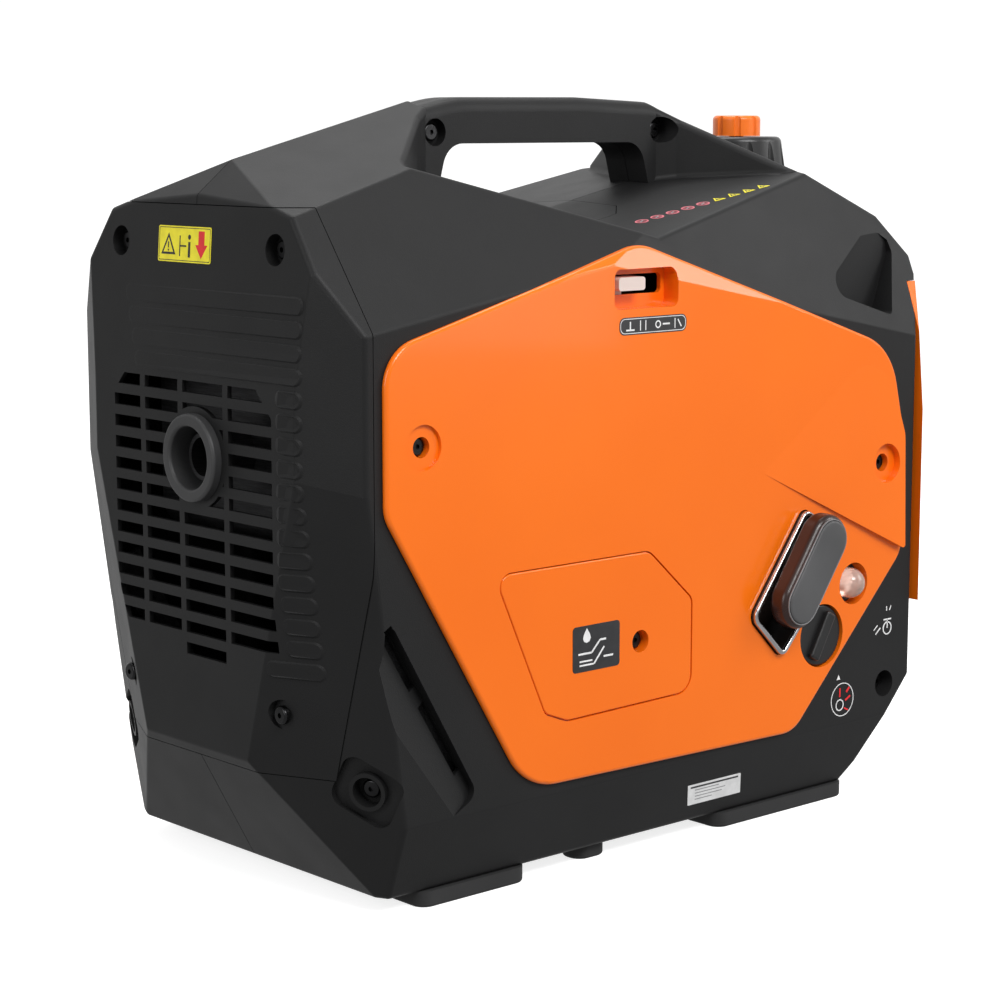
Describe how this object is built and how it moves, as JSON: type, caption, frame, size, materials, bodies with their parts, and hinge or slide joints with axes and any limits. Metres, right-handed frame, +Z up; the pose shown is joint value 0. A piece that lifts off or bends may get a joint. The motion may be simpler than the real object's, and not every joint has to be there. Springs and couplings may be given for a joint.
{
  "type": "portable generator",
  "caption": "Suitcase-style portable inverter generator: split case with carry handle, screwed side panels, recoil starter, fuel cap, exhaust outlet and outlet panel.",
  "frame": {"origin": "on the ground, at the centre of the overall footprint; the seam between the two case halves is 8 mm along +Y from it", "axes": "+X towards the outlet end, -Y towards the recoil starter side, +Z up"},
  "size_m": [0.522, 0.3046, 0.468],
  "materials": {
    "case_black": "fine leather-grain matte",
    "panel_orange": "gloss",
    "control_black": "satin",
    "vent_orange": "satin",
    "lid_grey": "satin",
    "rim_chrome": "chromed",
    "grip_rubber": "satin",
    "rope_nylon": "braided",
    "foot_rubber": "matte",
    "bulb_clear": "clear",
    "lever_ivory": "satin",
    "button_red": "satin",
    "lamp_green": "clear",
    "engine_alloy": "die cast",
    "engine_iron": "as cast",
    "engine_steel": "machined",
    "winding": "lacquered",
    "engine_plastic": "moulded",
    "spring_steel": "drawn",
    "filter_foam": "open foam",
    "strainer_mesh": "mesh",
    "outlet_steel": "heat-resistant paint",
    "screw_black": "gloss black",
    "earth_brass": "bright"
  },
  "bodies": {
    "case": {"ac_outlets": "control_black", "air_cleaner_case": "engine_plastic", "air_filter_element": "filter_foam", "alternator_stator": "winding", "base_tray": "case_black", "carburettor": "engine_alloy", "control_panel": "control_black", "crankcase": "engine_alloy", "cylinder": "engine_iron", "cylinder_head": "engine_alloy", "dc_outlet": "control_black", "earth_terminal": "earth_brass", "engine_mounts": "foot_rubber", "exhaust_outlet_ring": "outlet_steel", "front_cover": "panel_orange", "fuel_hose": "foot_rubber", "fuel_strainer": "strainer_mesh", "fuel_tank": "engine_plastic", "ignition_coil": "winding", "indicator_lamps": "lamp_green", "inverter_module": "engine_alloy", "left_shell": "case_black", "left_side_panel": "panel_orange", "muffler": "engine_steel", "plug_cap": "foot_rubber", "primer_base": "foot_rubber", "rear_cover": "case_black", "rear_cover_screws": "screw_black", "recoil_housing": "engine_steel", "recoil_spring": "spring_steel", "right_shell": "case_black", "right_side_panel": "panel_orange", "rocker_cover": "engine_steel", "rubber_feet": "foot_rubber", "shell_screws": "screw_black", "side_panel_screws": "screw_black", "spark_plug": "engine_steel", "starter_bezel": "rim_chrome"},
    "starter_pull": {"starter_grip": "grip_rubber", "starter_rope": "rope_nylon"},
    "starter_reel": {"recoil_reel": "engine_plastic"},
    "engine_shaft": {"crankshaft": "engine_steel", "cooling_fan": "engine_plastic", "alternator_rotor": "engine_steel"},
    "piston": {"piston": "engine_alloy"},
    "engine_knob": {"engine_knob": "control_black"},
    "choke": {"choke_lever": "lever_ivory"},
    "primer": {"primer_bulb": "bulb_clear"},
    "fuel_cap": {"fuel_cap": "control_black"},
    "vent_knob": {"cap_vent_knob": "vent_orange"},
    "oil_door": {"oil_access_door": "panel_orange", "door_screw": "screw_black"},
    "plug_cover": {"plug_access_cover": "case_black"},
    "oil_cap": {"oil_filler_cap": "engine_plastic"},
    "switch": {"economy_switch": "control_black"},
    "breaker": {"breaker_button": "button_red"},
    "lid_left": {"outlet_lid_left": "lid_grey"},
    "lid_right": {"outlet_lid_right": "lid_grey"}
  },
  "joints": [
    {"name": "starter_pull_slide", "type": "slide", "parent": "case", "child": "starter_pull", "axis": [0, -1, 0], "range_m": [0, 0.5]},
    {"name": "starter_reel_spin", "type": "hinge", "parent": "case", "child": "starter_reel", "pos_m": [0.13, 0.008, 0.122], "axis": [1, 0, 0], "range_deg": [0, 667]},
    {"name": "engine_shaft_spin", "type": "hinge", "parent": "case", "child": "engine_shaft", "pos_m": [0, 0.008, 0.122], "axis": [1, 0, 0], "continuous": true},
    {"name": "piston_stroke", "type": "slide", "parent": "case", "child": "piston", "axis": [0, 0, 1], "range_m": [-0.024, 0.012]},
    {"name": "engine_knob_turn", "type": "hinge", "parent": "case", "child": "engine_knob", "pos_m": [0.143, -0.1345, 0.119], "axis": [0, -1, 0], "range_deg": [0, 90]},
    {"name": "choke_slide", "type": "slide", "parent": "case", "child": "choke", "axis": [1, 0, 0], "range_m": [0, 0.02]},
    {"name": "primer_press", "type": "slide", "parent": "case", "child": "primer", "axis": [0, 1, 0], "range_m": [0, 0.004], "stiffness_N_per_m": 900},
    {"name": "fuel_cap_turn", "type": "hinge", "parent": "case", "child": "fuel_cap", "pos_m": [0.208, 0.008, 0.43], "axis": [0, 0, 1], "range_deg": [0, 540]},
    {"name": "vent_knob_turn", "type": "hinge", "parent": "fuel_cap", "child": "vent_knob", "pos_m": [0.208, 0.008, 0.45], "axis": [0, 0, 1], "range_deg": [-90, 0]},
    {"name": "oil_door_lift", "type": "slide", "parent": "case", "child": "oil_door", "axis": [0, -1, 0], "range_m": [0, 0.06]},
    {"name": "plug_cover_lift", "type": "slide", "parent": "case", "child": "plug_cover", "axis": [0, 0, 1], "range_m": [0, 0.018]},
    {"name": "oil_cap_turn", "type": "hinge", "parent": "case", "child": "oil_cap", "pos_m": [-0.042, -0.097, 0.142], "axis": [0, -1, 0], "range_deg": [0, 540]},
    {"name": "switch_rock", "type": "hinge", "parent": "case", "child": "switch", "pos_m": [0.246, 0.074, 0.262], "axis": [0, 1, 0], "range_deg": [-8, 8]},
    {"name": "breaker_press", "type": "slide", "parent": "case", "child": "breaker", "axis": [-1, 0, 0], "range_m": [0, 0.003], "stiffness_N_per_m": 800},
    {"name": "lid_left_swing", "type": "hinge", "parent": "case", "child": "lid_left", "pos_m": [0.2525, -0.042, 0.2145], "axis": [0, -1, 0], "range_deg": [0, 120], "stiffness_Nm_per_rad": 0.01, "springref_deg": -34.38},
    {"name": "lid_right_swing", "type": "hinge", "parent": "case", "child": "lid_right", "pos_m": [0.2525, 0.022, 0.2145], "axis": [0, -1, 0], "range_deg": [0, 120], "stiffness_Nm_per_rad": 0.01, "springref_deg": -34.38}
  ],
  "couplings": [
    {"joint": "starter_reel_spin", "follows": "starter_pull_slide", "rad_per_m": 23.256}
  ]
}
